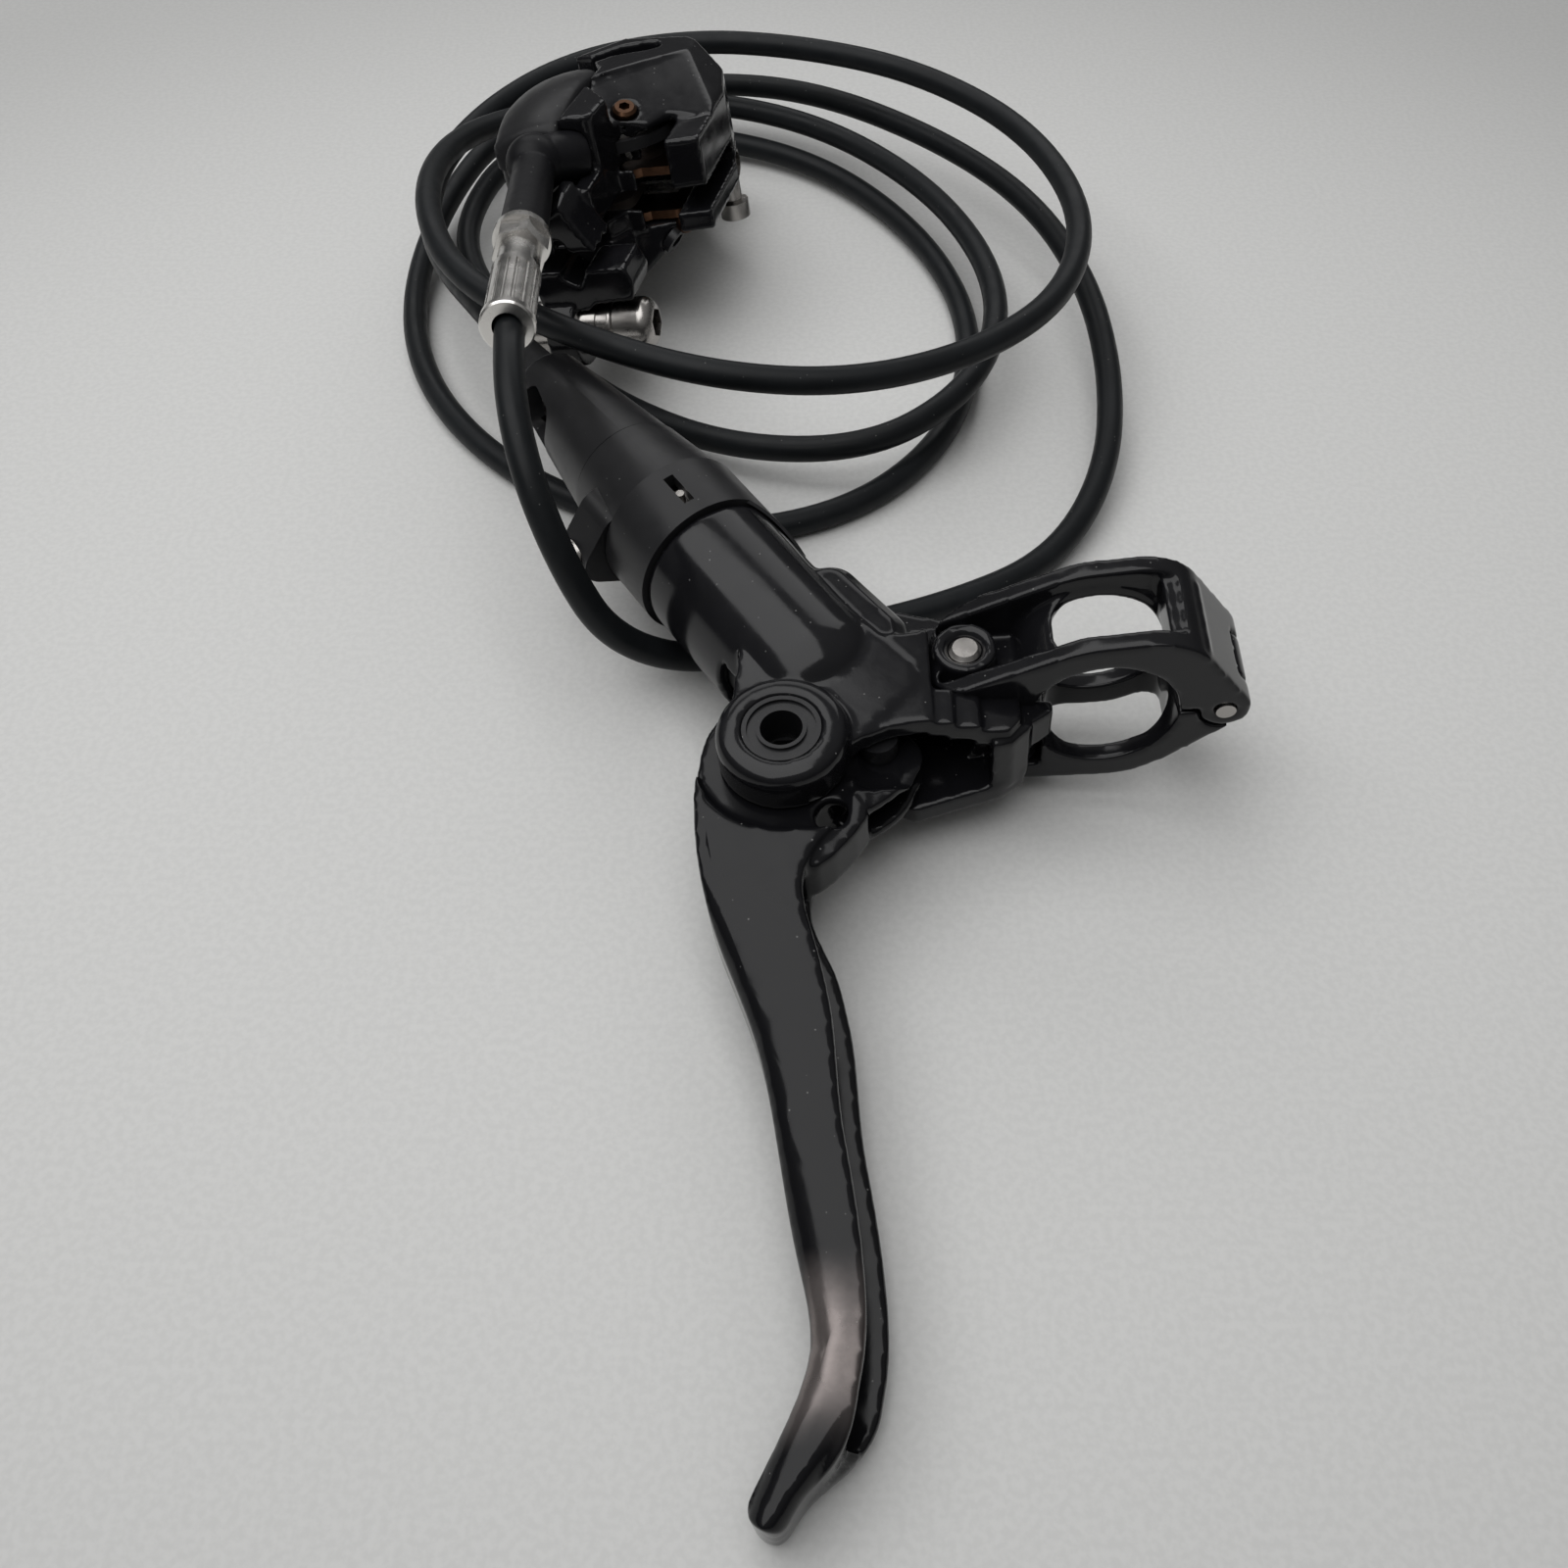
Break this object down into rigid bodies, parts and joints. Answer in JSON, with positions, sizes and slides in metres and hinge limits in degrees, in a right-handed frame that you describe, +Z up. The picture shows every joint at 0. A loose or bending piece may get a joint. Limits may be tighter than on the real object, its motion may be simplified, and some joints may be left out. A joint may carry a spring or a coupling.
{
  "type": "hydraulic disc brake",
  "caption": "Bicycle hydraulic disc brake: two-finger lever with hinged bar clamp, hose lying in loops, and a post-mount caliper with pads.",
  "frame": {"origin": "middle of the lever's and caliper's plan box at the surface they lie on", "axes": "+Z up from the surface, +Y from the lever towards the caliper, +X to the right"},
  "size_m": [0.1522, 0.3331, 0.0553],
  "materials": {
    "shell_black": "gloss",
    "satin_black": "satin",
    "plastic_black": "gloss",
    "hose_black": "satin",
    "rubber_black": "matte",
    "steel": "satin",
    "plated": "bright",
    "silver": "satin",
    "bronze": "satin",
    "friction": "rough",
    "liner": "fine"
  },
  "bodies": {
    "base": {"master_body": "shell_black", "pivot_pin": "silver", "pivot_cap": "silver", "cylinder_liner": "liner", "return_spring": "steel", "reservoir_bladder": "rubber_black", "bleed_sleeve": "plastic_black", "bleed_screw": "steel", "hose_cap": "plastic_black", "hose_nut": "plated", "hose_olive": "bronze", "hose_boot": "rubber_black", "clamp_upper": "satin_black", "clamp_lower": "satin_black", "clamp_bolt": "steel", "hinge_pin": "steel", "caliper_outboard": "shell_black", "caliper_inboard": "shell_black", "caliper_cover": "satin_black", "body_bolts": "steel", "caliper_bleed_screw": "bronze", "bore_plug": "steel", "seal_outboard": "rubber_black", "seal_inboard": "rubber_black", "pad_pin": "steel", "pad_spring": "steel", "elbow": "plastic_black", "hose_fitting": "plated", "ferrule": "plated", "mount_bolt_near": "silver", "mount_bolt_far": "silver", "mount_washers_near": "steel", "mount_washers_far": "steel", "hose": "hose_black"},
    "lever": {"lever_blade": "shell_black", "pushrod_dowel": "steel", "pivot_bushings": "plastic_black"},
    "plunger": {"master_piston": "silver", "master_seals": "rubber_black", "pushrod": "steel"},
    "ring": {"contact_ring": "satin_black"},
    "nut": {"adjuster_nut": "silver"},
    "pad_outboard": {"piston_outboard": "silver", "plate_outboard": "bronze", "friction_outboard": "friction"},
    "pad_inboard": {"piston_inboard": "silver", "plate_inboard": "bronze", "friction_inboard": "friction"}
  },
  "joints": [
    {"name": "lever_pivot", "type": "hinge", "parent": "base", "child": "lever", "pos_m": [-0.00583, -0.04649, 0.01628], "axis": [-0.0785, -0.0947, 0.9924], "range_deg": [0, 18], "stiffness_Nm_per_rad": 0.25, "springref_deg": -17.19},
    {"name": "plunger_slide", "type": "slide", "parent": "base", "child": "plunger", "axis": [-0.5502, 0.8342, 0.0361], "range_m": [0, 0.00427], "deforming": ["return_spring"]},
    {"name": "ring_turn", "type": "hinge", "parent": "base", "child": "ring", "pos_m": [0.00498, -0.03943, 0.01781], "axis": [-0.5502, 0.8342, 0.0361], "range_deg": [-40, 40]},
    {"name": "nut_slide", "type": "slide", "parent": "ring", "child": "nut", "axis": [-0.5502, 0.8342, 0.0361], "range_m": [-0.002, 0.002]},
    {"name": "pad_outboard_slide", "type": "slide", "parent": "base", "child": "pad_outboard", "axis": [0.1541, -0.1174, -0.9811], "range_m": [0, 0.00044]},
    {"name": "pad_inboard_slide", "type": "slide", "parent": "base", "child": "pad_inboard", "axis": [-0.1541, 0.1174, 0.9811], "range_m": [0, 0.00044]}
  ],
  "couplings": [
    {"joint": "plunger_slide", "follows": "lever_pivot", "m_per_rad": 0.013585},
    {"joint": "nut_slide", "follows": "ring_turn", "m_per_rad": 0.002864},
    {"joint": "pad_outboard_slide", "follows": "lever_pivot", "m_per_rad": 0.0014},
    {"joint": "pad_inboard_slide", "follows": "lever_pivot", "m_per_rad": 0.0014}
  ]
}
